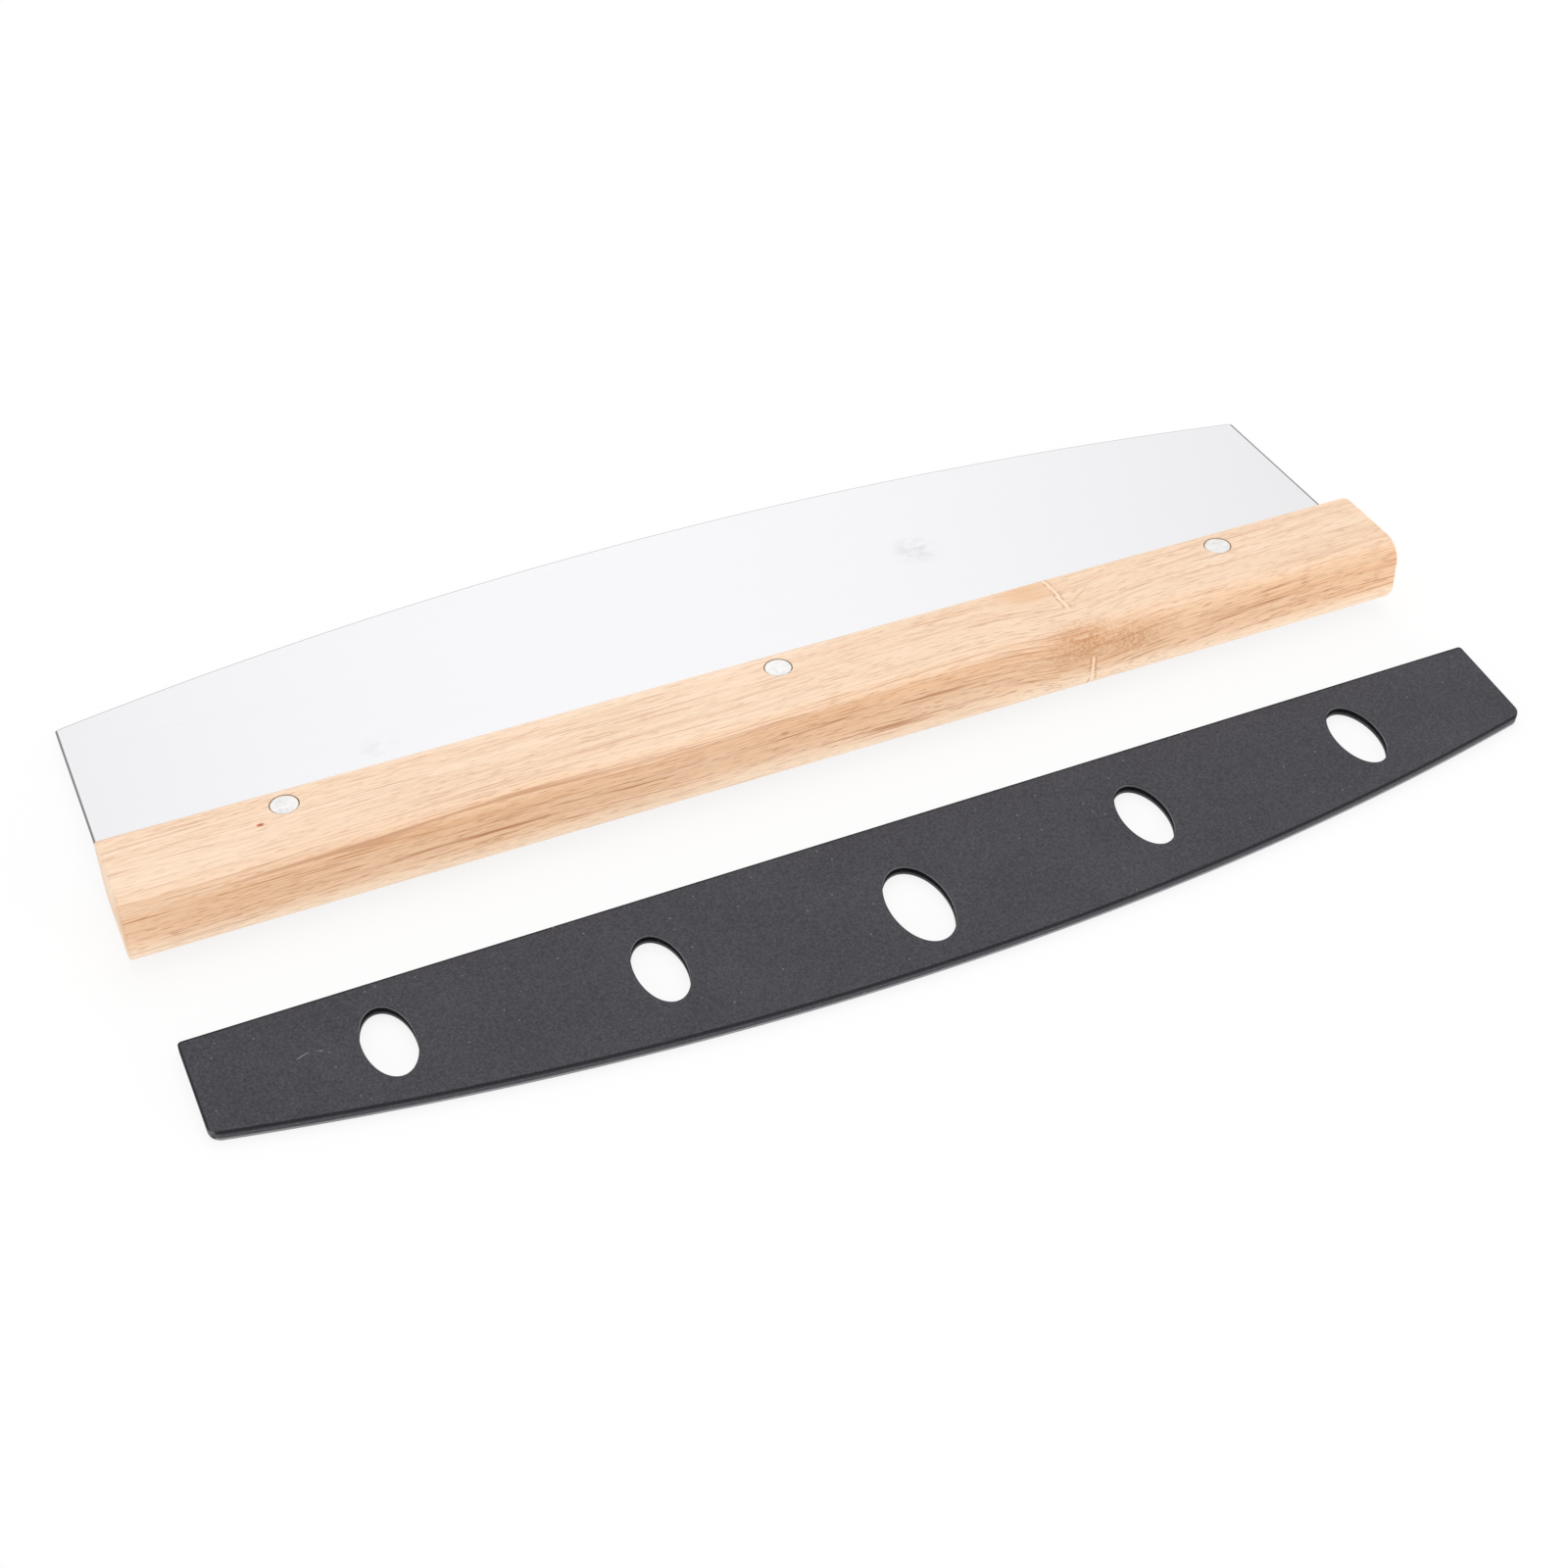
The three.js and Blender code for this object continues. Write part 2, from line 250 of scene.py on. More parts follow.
class SheathSettings(bpy.types.PropertyGroup):
    """Sizes and colours of the plastic blade sheath."""

    depth: size("Depth", "From the mouth to the closed edge, in the middle", 46.8 * MM)
    wall: size("Wall", "Above and below the pocket", 0.9 * MM)
    rim: size("Rim", "Round the pocket's closed sides", 1.4 * MM)
    corner_radius: size("Corner radius", "Rounding of the closed edge's two ends", 3.5 * MM)
    mouth_radius: size("Mouth radius", "Rounding of the mouth's two ends", 1 * MM)
    edge_radius: size("Edge radius", "Rounding of all outer rims", 0.45 * MM)
    hole_rim_radius: size("Hole rim radius", "Rounding of the holes' rims", 0.15 * MM)
    edge_clearance: size("Edge clearance", "Between the cutting edge and the pocket", 0.8 * MM)
    face_clearance: size("Face clearance", "Between the blade's faces and the pocket", 0.2 * MM)
    parting_height: size("Parting height", "Of the parting line above the underside", 1.1 * MM)
    parting_width: size("Parting width", "Of the parting line", 0.3 * MM)
    parting_depth: size("Parting depth", "Of the parting line", 0.25 * MM)
    hole_pitch: size("Hole pitch", "From one hole to the next", 65.9 * MM)
    hole_width: size("Hole width", "Of the four outer holes", 12.7 * MM)
    hole_length: size("Hole length", "Of the four outer holes", 21.8 * MM)
    middle_hole_width: size("Middle hole width", "Of the middle hole", 15.7 * MM)
    middle_hole_length: size("Middle hole length", "Of the middle hole", 25.7 * MM)
    middle_hole_shift: size("Middle hole shift", "Of the middle hole towards the closed edge", 3.9 * MM)
    plastic: colour("Plastic", "Charcoal moulding", 43, 42, 51)
    # The speck colour also paints floor light on the sides below the parting line and a highlight on the
    # holes' walls
    speck: colour("Speck", "Dust and light points in the plastic", 150, 150, 152)
    # Painted shade: this colour darkens the upper rim of the sides and the mouth
    shade: colour("Shade", "Upper rim of the sides, and the mouth", 18, 18, 21)


class StageSettings(bpy.types.PropertyGroup):
    """Floor, light and camera."""

    floor: colour("Floor", "Pale floor under the object", 250, 250, 250)
    floor_size: size("Floor size", "Of the square floor", 12)
    shadow: share("Shadow", "How strongly the object's shadow shows on the white floor", 0.17)
    sky: strength("Sky", "Brightness of the studio all round", 0.79)
    dim_side: share("Dim side", "Share of that brightness behind the camera", 0.6)
    wall: strength("Wall", "What the wall behind the object adds to that brightness", 0.24)
    wall_middle: FloatProperty(
        name="Wall middle", description="X of the direction where it adds most", default=0.24
    )
    wall_fall: strength("Wall fall", "How fast the wall dims to both sides", 2)
    overhead: strength("Overhead", "Power of the lamp above in watts", 6.2)
    left: strength("Left", "Power of the lamp on the left in watts", 1.2)
    front: strength("Front", "Power of the lamp in front in watts", 8)
    heading: turn("Heading", "Camera's direction, from +Y towards +X", 24.969)
    downward: turn("Downward", "How far the camera looks down", 45.595)
    roll: turn("Roll", "Turn of the camera about its own axis", 2.117)
    aim: FloatVectorProperty(
        name="Aim",
        description="Point on the table that the camera's axis meets",
        default=(-10.96 * MM, -15.8 * MM, 0),
        size=3,
        subtype="XYZ",
        unit="LENGTH",
    )
    distance: size("Distance", "From the camera to its aim", 654.21 * MM)
    lens: FloatProperty(name="Lens", description="Focal length in millimetres", default=58.68, min=1)


class CutterSettings(bpy.types.PropertyGroup):
    """All settings of the pizza cutter."""

    grip: PointerProperty(name="Grip", description="Wooden grip", type=GripSettings)
    blade: PointerProperty(name="Blade", description="Steel blade", type=BladeSettings)
    rivet: PointerProperty(name="Rivets", description="Three rivets", type=RivetSettings)
    sheath: PointerProperty(name="Sheath", description="Plastic blade sheath", type=SheathSettings)
    stage: PointerProperty(name="Stage", description="Floor, light and camera", type=StageSettings)


# Outlines: points with outward normals, counter-clockwise


def arc(centre, radius, start, stop, steps):
    """A circular arc: the centre plus the radius times cosine and sine of evenly spaced angles, which are
    also its normals."""
    angle = np.linspace(start, stop, steps + 1)
    normal = np.stack([np.cos(angle), np.sin(angle)], axis=1)
    return np.asarray(centre) + radius * normal, normal


def corner(x, y, normal_x, normal_y):
    """A single sharp corner."""
    return np.array([[x, y]]), np.array([[normal_x, normal_y]], float)


def join(*stretches):
    """One closed outline from stretches that follow each other, without the points that repeat."""
    points = np.concatenate([points for points, normals in stretches])
    normals = np.concatenate([normals for points, normals in stretches])
    step = np.linalg.norm(points - np.roll(points, -1, axis=0), axis=1)
    kept = step > 1e-9
    return points[kept], normals[kept]


def rounded_rectangle(middle, width, height, radius, steps):
    """Four quarter arcs with straight sides in between."""
    across = np.array((width / 2 - radius, height / 2 - radius))
    corners = np.asarray(middle) + across * ((1, 1), (-1, 1), (-1, -1), (1, -1))
    return join(
        *(
            arc(centre, radius, number * QUARTER, (number + 1) * QUARTER, steps)
            for number, centre in enumerate(corners)
        )
    )


def circle(x, y):
    """A circle of no size about a point, which a profile of radii turns into a round body."""
    points, normals = arc((x, y), 0, 0, 4 * QUARTER, ROUND_STEPS)
    return points[:-1], normals[:-1]


def oval(middle, width, length):
    """An ellipse: cosine and sine times its half sizes. Its normals are the same with the half sizes
    swapped."""
    angle = np.linspace(0, 4 * QUARTER, OVAL_STEPS, endpoint=False)
    turned = np.stack([np.cos(angle), np.sin(angle)], axis=1)
    half = np.array([width, length]) / 2
    normal = turned * half[::-1]
    return np.asarray(middle) + turned * half, normal / np.linalg.norm(normal, axis=1, keepdims=True)


def belly_circle(blade):
    """Height of the centre and radius of the arc through the blade's end heights and its middle height."""
    rise = blade.middle_height - blade.end_height
    radius = ((blade.length / 2) ** 2 + rise**2) / (2 * rise)
    return blade.middle_height - radius, radius


def belly(blade, offset, corner_radius):
    """The blade's curved side at an offset, from right to left: a corner arc, the long arc of the belly and
    the other corner arc, each touching the next without a kink."""
    centre, radius = belly_circle(blade)
    inner = radius + offset - corner_radius
    corner_x = blade.length / 2 + offset - corner_radius
    corner_y = centre + math.sqrt(inner**2 - corner_x**2)
    lean = math.asin(corner_x / inner)
    return join(
        arc((corner_x, corner_y), corner_radius, 0, QUARTER - lean, CORNER_STEPS),
        arc((0, centre), radius + offset, QUARTER - lean, QUARTER + lean, BELLY_STEPS),
        arc((-corner_x, corner_y), corner_radius, QUARTER + lean, 2 * QUARTER, CORNER_STEPS),
    )


# Bodies: profiles carried along outlines


def carry(outline, offset, height):
    """Rings of a body: on each level the outline is moved along its normals by the offset and set at the
    height. Both are arrays of levels by points, or of levels by one."""
    points, normals = outline
    moved = points + offset[..., None] * normals
    levels = np.broadcast_to(height, moved.shape[:2])[..., None]
    return np.concatenate([moved, levels], axis=2)


def carry_profile(outline, profile):
    """Rings of a body from one profile of (offset, height) pairs, the same all round."""
    offset, height = np.array(profile, float).T
    return carry(outline, offset[:, None], height[:, None])


def rim(radius, steps, height, side):
    """Quarter round of a rim that ends at a height, from the side wall to the face: offsets fall with the
    cosine and heights grow with the sine. Side is 1 for an upper rim and -1 for a lower one."""
    angle = np.linspace(0, QUARTER, steps + 1)
    offset = radius * (np.cos(angle) - 1)
    return np.stack([offset, height - side * radius * (1 - np.sin(angle))], axis=1)


def rounded_profile(low, high, radius, steps):
    """Profile of a plate between two heights with both rims rounded."""
    return np.concatenate([rim(radius, steps, low, -1)[::-1], rim(radius, steps, high, 1)])


def body(name, rings, place):
    """A closed mesh object: four-sided faces between neighbouring rings, one flat face on each end ring."""
    levels, count = rings.shape[:2]
    near = np.arange((levels - 1) * count).reshape(levels - 1, count)
    following = np.roll(near, -1, axis=1)
    sides = np.stack([near, following, following + count, near + count], axis=2).reshape(-1, 4)
    bottom = np.arange(count)[::-1]
    top = np.arange(count) + (levels - 1) * count
    mesh = bpy.data.meshes.new(name)
    mesh.from_pydata(rings.reshape(-1, 3).tolist(), [], [*sides.tolist(), bottom.tolist(), top.tolist()])
    mesh.transform(place)
    made = bpy.data.objects.new(name, mesh)
    bpy.context.scene.collection.objects.link(made)
    return made


def cut(made, tools):
    """Takes closed tool bodies out of a body, and removes them."""
    for tool in tools:
        modifier = made.modifiers.new(tool.name, "BOOLEAN")
        modifier.operation = "DIFFERENCE"
        modifier.solver = "EXACT"
        modifier.object = tool
    graph = bpy.context.evaluated_depsgraph_get()
    whole = made.data
    made.data = bpy.data.meshes.new_from_object(made.evaluated_get(graph))
    made.modifiers.clear()
    for mesh in (whole, *(tool.data for tool in tools)):
        bpy.data.meshes.remove(mesh)


def dress(made, finish, node, body_name):
    """Shades a finished body smooth between its creases, gives it its finish and puts it in its node's
    place."""
    mesh = made.data
    mesh.materials.clear()
    mesh.materials.append(finish)
    mesh.shade_smooth()
    mesh.set_sharp_from_angle(angle=CREASE)
    even = made.modifiers.new("even_normals", "WEIGHTED_NORMAL")
    even.keep_sharp = True
    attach(made, body_name)
    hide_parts(node)


# Pieces


def tang_outline(grip, blade, clearance):
    """Outline of the slot that takes the tang, past the grip's blade side."""
    radius = blade.tang_corner_radius + clearance
    bottom = -blade.tang_depth - clearance
    top = blade.shoulder_gap + radius
    width = grip.length - 2 * blade.tang_end_distance + 2 * clearance
    return rounded_rectangle((0, (top + bottom) / 2), width, top - bottom, radius, CORNER_STEPS)


def rivet_columns(grip, rivet):
    """Names and places of the rivets along the grip."""
    spacing = grip.length / 2 - rivet.end_distance
    return {"rivet_left": -spacing, "rivet_middle": 0.0, "rivet_right": spacing}


def make_grip(settings):
    """The grip: a bar with rounded long edges and square-cut ends, without the tang's slot and the three
    stepped bores."""
    grip, blade, rivet = settings.grip, settings.blade, settings.rivet
    place = cutter_place(grip)
    middle = (-grip.depth / 2, 0)
    section = rounded_rectangle(middle, grip.depth, grip.thickness, grip.edge_radius, GRIP_EDGE_STEPS)
    end = grip.length / 2
    profile = rounded_profile(-end, end, grip.end_break, RIM_STEPS)
    made = body("wooden_grip", carry_profile(section, profile), place @ ALONG_GRIP)
    slot_outline = tang_outline(grip, blade, grip.slot_clearance)
    slot_half = blade.thickness / 2 + grip.slot_clearance
    slot_profile = ((0, -slot_half), (0, slot_half))
    slot = body("tang_slot", carry_profile(slot_outline, slot_profile), place)
    bores = [
        body("bore", carry_profile(circle(x, -rivet.inset), bore_profile(grip, rivet)), place)
        for x in rivet_columns(grip, rivet).values()
    ]
    cut(made, [slot, *bores])
    dress(made, oiled_wood(grip, place), "handle", "cutter")


def bore_profile(grip, rivet):
    """Stepped bore for a rivet: radii and heights, with a gap all round and past both faces of the grip."""
    head = rivet.head_diameter / 2 + rivet.gap
    shank = rivet.shank_diameter / 2 + rivet.gap
    step = grip.thickness / 2 - rivet.sink - rivet.head_height - rivet.gap
    end = grip.thickness / 2 + CUT_REACH
    upper = np.array(((shank, step), (head, step), (head, end)))
    return np.concatenate([(upper * (1, -1))[::-1], upper])


def rivet_profile(grip, rivet):
    """A rivet: radii and heights of its shank and of its two heads with rounded rims."""
    head = rivet.head_diameter / 2
    shank = rivet.shank_diameter / 2
    face = grip.thickness / 2 - rivet.sink
    step = face - rivet.head_height
    head_rim = rim(rivet.rim_radius, RIM_STEPS, face, 1) + (head, 0)
    upper = np.concatenate([((shank, step), (head, step)), head_rim])
    return np.concatenate([(upper * (1, -1))[::-1], upper])


def make_rivets(settings):
    """The three rivets, each turned about its axis."""
    grip, rivet = settings.grip, settings.rivet
    place = cutter_place(grip)
    finish = ground_aluminium(rivet, place)
    profile = rivet_profile(grip, rivet)
    for node, x in rivet_columns(grip, rivet).items():
        made = body(f"turned_{node}", carry_profile(circle(x, -rivet.inset), profile), place)
        dress(made, finish, node, "cutter")


def blade_outline(grip, blade):
    """The blade's outline: belly, straight ends, shoulders and the tang with its round corners."""
    half = blade.length / 2
    gap = blade.shoulder_gap
    tang_half = grip.length / 2 - blade.tang_end_distance
    radius = blade.tang_corner_radius
    tang_y = radius - blade.tang_depth
    return join(
        corner(half, gap, 1, -1),
        belly(blade, 0, blade.corner_radius),
        corner(-half, gap, -1, -1),
        corner(-tang_half, gap, -1, -1),
        arc((radius - tang_half, tang_y), radius, 2 * QUARTER, 3 * QUARTER, CORNER_STEPS),
        arc((tang_half - radius, tang_y), radius, 3 * QUARTER, 4 * QUARTER, CORNER_STEPS),
        corner(tang_half, gap, 1, -1),
    )


def make_blade(settings):
    """The blade: on four levels its outline is drawn in by a small edge break, which grows into the ground
    bevel where the outline turns from the straight ends into the belly."""
    grip, blade, rivet = settings.grip, settings.blade, settings.rivet
    place = cutter_place(grip)
    outline = blade_outline(grip, blade)
    upward = outline[1][:, 1]
    belly_end_upward = belly(blade, 0, blade.corner_radius)[1][CORNER_STEPS, 1]
    ground = np.clip(upward / belly_end_upward, 0, 1)
    face = blade.thickness / 2
    inset = blade.edge_break + ground * (blade.bevel_width - blade.edge_break)
    lip = (1 - ground) * (face - blade.edge_break) + ground * blade.edge_thickness / 2
    flat = np.full_like(lip, face)
    offset = np.stack([-inset, 0 * inset, 0 * inset, -inset])
    height = np.stack([-flat, -lip, lip, flat])
    made = body("ground_blade", carry(outline, offset, height), place)
    hole_radius = rivet.shank_diameter / 2 + rivet.gap
    hole_profile = ((hole_radius, -CUT_REACH), (hole_radius, CUT_REACH))
    holes = [
        body("rivet_hole", carry_profile(circle(x, -rivet.inset), hole_profile), place)
        for x in rivet_columns(grip, rivet).values()
    ]
    cut(made, holes)
    dress(made, satin_steel(blade, place), "blade", "cutter")


def sheath_thickness(blade, sheath):
    """Thickness of the sheath: the blade, its clearance on both faces and the two walls."""
    return blade.thickness + 2 * sheath.face_clearance + 2 * sheath.wall


def sheath_mouth(blade, sheath):
    """Height of the mouth above the grip's blade side when the sheath sits on the blade."""
    return blade.middle_height + sheath.edge_clearance + sheath.rim - sheath.depth


def sheath_outline(blade, sheath, offset, mouth_y, mouth_radius):
    """Outline of the sheath or its pocket: the blade's belly at an offset, closed by a straight mouth."""
    half = blade.length / 2 + offset
    outer = sheath.edge_clearance + sheath.rim
    points, normals = belly(blade, offset, sheath.corner_radius + offset - outer)
    low = mouth_y + mouth_radius
    return join(
        (points - (0, sheath_mouth(blade, sheath)), normals),
        arc((mouth_radius - half, low), mouth_radius, 2 * QUARTER, 3 * QUARTER, CORNER_STEPS),
        arc((half - mouth_radius, low), mouth_radius, 3 * QUARTER, 4 * QUARTER, CORNER_STEPS),
    )


def hole_middle(blade, sheath, column):
    """Middle of a hole, counted in pitches from the sheath's middle: halfway between mouth and closed edge,
    and the middle one nearer the closed edge."""
    x = column * sheath.hole_pitch
    centre, radius = belly_circle(blade)
    outer = radius + sheath.edge_clearance + sheath.rim
    edge = centre + math.sqrt(outer**2 - x**2) - sheath_mouth(blade, sheath)
    shift = 0 if column else sheath.middle_hole_shift
    return x, edge / 2 + shift


def make_sheath(settings):
    """The sheath: a plate with rounded rims and a parting line, less its pocket and its five oval holes."""
    blade, sheath = settings.blade, settings.sheath
    place = sheath_place(blade, sheath)
    top = sheath_thickness(blade, sheath)
    outer = sheath.edge_clearance + sheath.rim
    outline = sheath_outline(blade, sheath, outer, 0, sheath.mouth_radius)
    lower_rim = rim(sheath.edge_radius, RIM_STEPS, 0, -1)[::-1]
    upper_rim = rim(sheath.edge_radius, RIM_STEPS, top, 1)
    half_width = sheath.parting_width / 2
    parting = (
        (0, sheath.parting_height - half_width),
        (-sheath.parting_depth, sheath.parting_height),
        (0, sheath.parting_height + half_width),
    )
    profile = np.concatenate([lower_rim, parting, upper_rim])
    made = body("moulded_sheath", carry_profile(outline, profile), place)
    pocket_outline = sheath_outline(blade, sheath, sheath.edge_clearance, -CUT_REACH, CUT_REACH / 2)
    pocket_profile = ((0, sheath.wall), (0, top - sheath.wall))
    pocket = body("pocket", carry_profile(pocket_outline, pocket_profile), place)
    holes = [body("oval_hole", oval_rings(blade, sheath, column), place) for column in HOLE_COLUMNS]
    cut(made, [pocket, *holes])
    dress(made, textured_plastic(blade, sheath, place), "sheath", "sheath")


def oval_rings(blade, sheath, column):
    """Cutting body of an oval hole: its wall flares out in a quarter round at both faces of the sheath."""
    width = sheath.hole_width if column else sheath.middle_hole_width
    length = sheath.hole_length if column else sheath.middle_hole_length
    outline = oval(hole_middle(blade, sheath, column), width, length)
    radius = sheath.hole_rim_radius
    flare = rim(radius, RIM_STEPS, sheath_thickness(blade, sheath), 1) * (-1, 1)
    upper = np.concatenate([flare, flare[-1:] + (CUT_REACH, CUT_REACH / 4)])
    middle = sheath_thickness(blade, sheath) / 2
    lower = ((upper - (0, middle)) * (1, -1) + (0, middle))[::-1]
    return carry_profile(outline, np.concatenate([lower, upper]))


# Finishes


class Nodes:
    """Makes and links shader nodes in one tree."""

    def __init__(self, tree):
        self.tree = tree
        tree.nodes.clear()

    def node(self, kind, **settings):
        """A node with some of its settings."""
        made = self.tree.nodes.new(kind)
        for name, value in settings.items():
            setattr(made, name, value)
        return made

    def feed(self, socket, value):
        """Links an output to a socket, or sets a number or colour on it."""
        if isinstance(value, bpy.types.NodeSocket):
            self.tree.links.new(value, socket)
        elif socket.type == "RGBA":
            socket.default_value = (*value, 1)
        else:
            socket.default_value = value

    def fed(self, kind, *values, **settings):
        """A node whose sockets are fed in order."""
        made = self.node(kind, **settings)
        for socket, value in zip(made.inputs, values):
            self.feed(socket, value)
        return made

    def math(self, operation, *values):
        """One step of arithmetic on numbers."""
        return self.fed("ShaderNodeMath", *values, operation=operation).outputs[0]

    def fold(self, operation, first, *others):
        """The same step on one number after another."""
        for other in others:
            first = self.math(operation, first, other)
        return first

    def plus(self, *values):
        """Numbers added up."""
        return self.fold("ADD", *values)

    def times(self, *values):
        """Numbers multiplied."""
        return self.fold("MULTIPLY", *values)

    def most(self, *values):
        """The largest of some numbers."""
        return self.fold("MAXIMUM", *values)

    def weigh(self, start, *weighed):
        """A start plus other numbers times their weights."""
        for value, weight in weighed:
            start = self.math("MULTIPLY_ADD", value, weight, start)
        return start

    def rest(self, part):
        """What a share leaves of the whole."""
        return self.math("SUBTRACT", 1.0, part)

    def unsigned(self, value):
        """A number without its sign."""
        return self.math("ABSOLUTE", value)

    def vector(self, operation, *values):
        """One step of arithmetic on vectors, which gives a vector or a number."""
        made = self.fed("ShaderNodeVectorMath", *values, operation=operation)
        gives_number = operation in ("LENGTH", "DISTANCE", "DOT_PRODUCT")
        return made.outputs["Value" if gives_number else "Vector"]

    def split(self, vector):
        """X, Y and Z of a vector."""
        return tuple(self.fed("ShaderNodeSeparateXYZ", vector).outputs)

    def combine(self, *parts):
        """A vector from X, Y and Z."""
        return self.fed("ShaderNodeCombineXYZ", *parts).outputs[0]

    def ramp(self, value, start, stop, low=0.0, high=1.0):
        """A smooth step from low at start to high at stop."""
        sockets = (value, start, stop, low, high)
        return self.fed("ShaderNodeMapRange", *sockets, interpolation_type="SMOOTHSTEP").outputs[0]

    def near(self, value, centre, reach):
        """1 at a centre, falling smoothly to 0 at a distance."""
        distance = self.unsigned(self.math("SUBTRACT", value, centre))
        return self.ramp(distance, 0.0, reach, low=1.0, high=0.0)

    def mix(self, share_of_second, first, second, kind="RGBA"):
        """A colour between two others, or a number of the kind FLOAT."""
        made = self.node("ShaderNodeMix", data_type=kind)
        *inputs, output = MIX_SOCKETS[kind]
        for socket, value in zip(inputs, (share_of_second, first, second)):
            self.feed(made.inputs[socket], value)
        return made.outputs[output]

    def shown_rays(self):
        """1 for rays from the camera and for those that gloss and glass send on, else 0."""
        rays = self.node("ShaderNodeLightPath").outputs
        return self.most(rays["Is Camera Ray"], rays["Is Glossy Ray"], rays["Is Transmission Ray"])


class Finish(Nodes):
    """A node material whose patterns are laid out in millimetres in a piece's own frame."""

    def __init__(self, name, place):
        self.material = bpy.data.materials.new(name)
        self.material.use_nodes = True
        super().__init__(self.material.node_tree)
        self.shader = self.node("ShaderNodeBsdfPrincipled")
        self.fed("ShaderNodeOutputMaterial", self.shader.outputs[0])
        where = self.node("ShaderNodeTexCoord").outputs["Object"]
        millimetres = (MM, MM, MM)
        own_frame = (place.to_translation(), place.to_euler(), millimetres)
        self.place = self.fed("ShaderNodeMapping", where, *own_frame, vector_type="TEXTURE").outputs[0]

    def set(self, **values):
        """Sets the shader's sockets, given with underscores for blanks."""
        for name, value in values.items():
            self.feed(self.shader.inputs[name.replace("_", " ")], value)

    def noise(self, vector, cell, detail=2.0, roughness=0.5):
        """Noise from 0 to 1 whose features have about the given sizes in millimetres along X, Y and Z."""
        made = self.node("ShaderNodeTexNoise")
        self.feed(made.inputs["Vector"], self.vector("DIVIDE", vector, cell))
        self.feed(made.inputs["Scale"], 1.0)
        self.feed(made.inputs["Detail"], detail)
        self.feed(made.inputs["Roughness"], roughness)
        return made.outputs["Fac"]

    def wave(self, vector, cell, detail=2.0, roughness=0.5):
        """The same noise, from -0.5 to 0.5."""
        return self.plus(self.noise(vector, cell, detail, roughness), -0.5)

    def specks(self, cell, radius):
        """Sparse small dots, one in each cell of a given size in millimetres."""
        made = self.node("ShaderNodeTexVoronoi")
        self.feed(made.inputs["Vector"], self.vector("DIVIDE", self.place, (cell, cell, cell)))
        self.feed(made.inputs["Scale"], 1.0)
        return self.ramp(made.outputs["Distance"], radius / cell / 2, radius / cell, low=1.0, high=0.0)

    def blot(self, centre, half_sizes, hard=0.0):
        """1 in the middle of an ellipsoid, or in a hard share of it, falling smoothly to 0 at its skin."""
        away = self.vector("DIVIDE", self.vector("SUBTRACT", self.place, centre), half_sizes)
        return self.ramp(self.vector("LENGTH", away), hard, 1.0, low=1.0, high=0.0)

    def bump(self, height, depth):
        """Relief of a given depth in metres."""
        made = self.node("ShaderNodeBump")
        self.feed(made.inputs["Height"], height)
        self.feed(made.inputs["Distance"], depth)
        self.feed(made.inputs["Strength"], 1.0)
        return made.outputs[0]


def wood_grain(wood, grip):
    """Where a point lies in the grip's grain. Fibres run along X. Across them, the grain is measured from
    the top face round the long edge and down the front. It drifts slowly and dips at the knot, and the
    blade side and the underside have a measure of their own. Also gives shares: how much a point is on the
    front, near the front's lower edge where floor light is painted, on the long edge, in a cloud, and off
    the end faces."""
    # Reach and depth of the dip, width of the drift, shift of the fibres along the grip for each millimetre
    # across it, and how softly the measures of two faces blend
    knot_reach = 26.0
    knot_dip = 2.6
    drift = 7.0
    stagger = 11.7
    blend = 3.0
    x, y, z = wood.split(wood.place)
    face = grip.thickness / 2 / MM
    palm = grip.depth / MM
    radius = grip.edge_radius / MM
    end = grip.length / 2 / MM
    knot = grip.knot_place / MM
    around = wood.times(wood.plus(y, z), -1.0)
    slow = wood.wave(wood.place, (120.0, 30.0, 30.0), detail=1.0)
    across = wood.weigh(around, (wood.near(x, knot, knot_reach), -knot_dip), (slow, drift))
    away = wood.math("SUBTRACT", y, z)
    behind = wood.ramp(y, -radius - blend, -radius + blend)
    below = wood.ramp(z, radius - face + blend, radius - face - blend)
    hidden = wood.plus(
        wood.times(behind, wood.plus(away, face + radius)),
        wood.times(below, wood.plus(away, palm + radius - face)),
    )
    front = wood.ramp(around, palm - radius - face, palm + radius - face)
    return SimpleNamespace(
        x=x,
        y=y,
        z=z,
        face=face,
        palm=palm,
        knot=knot,
        fibre=wood.combine(wood.weigh(x, (across, stagger)), across, hidden),
        front=front,
        # Share of the front's lower edge, where floor light is painted
        low=wood.times(front, wood.ramp(z, 0.0, 1.0 - face)),
        turned=wood.near(around, palm - face, 1.4 * radius),
        clouds=wood.ramp(wood.noise(wood.place, (60.0, 16.0, 16.0)), 0.3, 0.7),
        sides=wood.ramp(wood.unsigned(x), end - 0.2, end - 0.6),
    )


def wood_tone(wood, grip, grain):
    """Pale wood with warmer bands and clouds, warmest on the front, with painted floor light on its lower
    edge.
    """
    bands = wood.ramp(wood.noise(grain.fibre, (260.0, 4.0, 4.0)), 0.35, 0.7)
    # Painted floor light: on the front's lower edge the warmth is taken away and a light colour is mixed in
    warmth = wood.weigh(
        0.0,
        (grain.front, 0.6),
        (bands, 0.25),
        (grain.clouds, 0.2),
        (grain.turned, 0.15),
        (grain.low, -1.0),
    )
    return wood.mix(wood.times(grain.low, 0.7), wood.mix(warmth, grip.pale, grip.warm), grip.fleck_and_painted_light)


